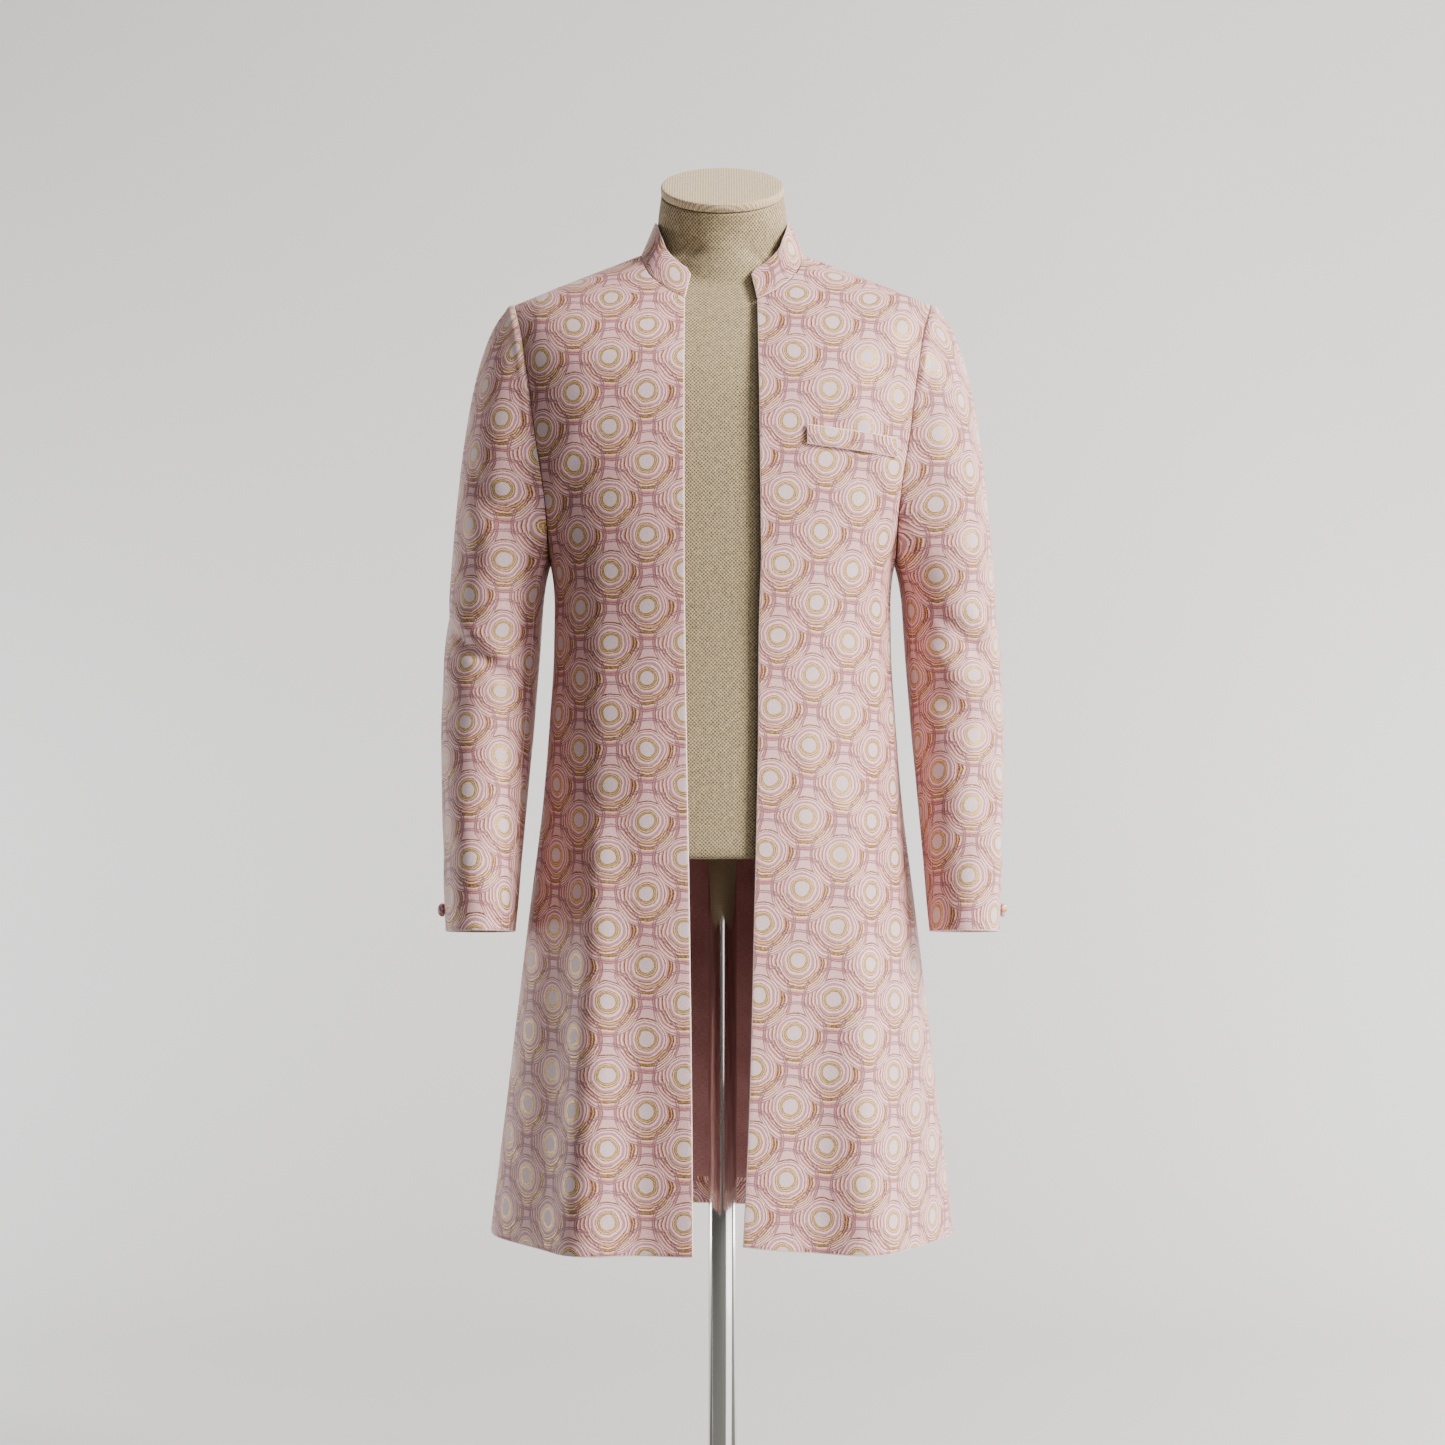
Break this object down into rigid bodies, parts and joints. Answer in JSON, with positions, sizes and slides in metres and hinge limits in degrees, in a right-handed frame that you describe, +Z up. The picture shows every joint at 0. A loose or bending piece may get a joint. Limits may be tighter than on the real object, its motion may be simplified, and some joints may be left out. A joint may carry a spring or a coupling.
{
  "type": "sherwani coat on a dress form",
  "caption": "Knee-length open-front brocade coat with band collar, chest welt pocket and two-piece sleeves, worn on a linen dress form with a steel pole and round base.",
  "frame": {"origin": "centre of the round base's underside, on the floor", "axes": "+Z up, the coat's open front faces -Y, +X is the right of someone who faces the coat"},
  "size_m": [0.5896, 0.42, 1.587],
  "materials": {
    "coat_brocade": "pale rose brocade with gold, rust and mauve rings",
    "button_cloth": "brocade over a button mould",
    "form_linen": "natural linen",
    "pole_steel": "polished",
    "base_steel": "satin"
  },
  "bodies": {
    "root": {"front_left": "coat_brocade", "front_right": "coat_brocade", "back": "coat_brocade", "collar": "coat_brocade", "breast_welt": "coat_brocade", "top_sleeve_left": "coat_brocade", "top_sleeve_right": "coat_brocade", "under_sleeve_left": "coat_brocade", "under_sleeve_right": "coat_brocade", "cuff_button_left": "button_cloth", "cuff_button_right": "button_cloth", "form_torso": "form_linen", "form_neck_cap": "form_linen", "stand_pole": "pole_steel", "stand_base": "base_steel"}
  },
  "joints": []
}
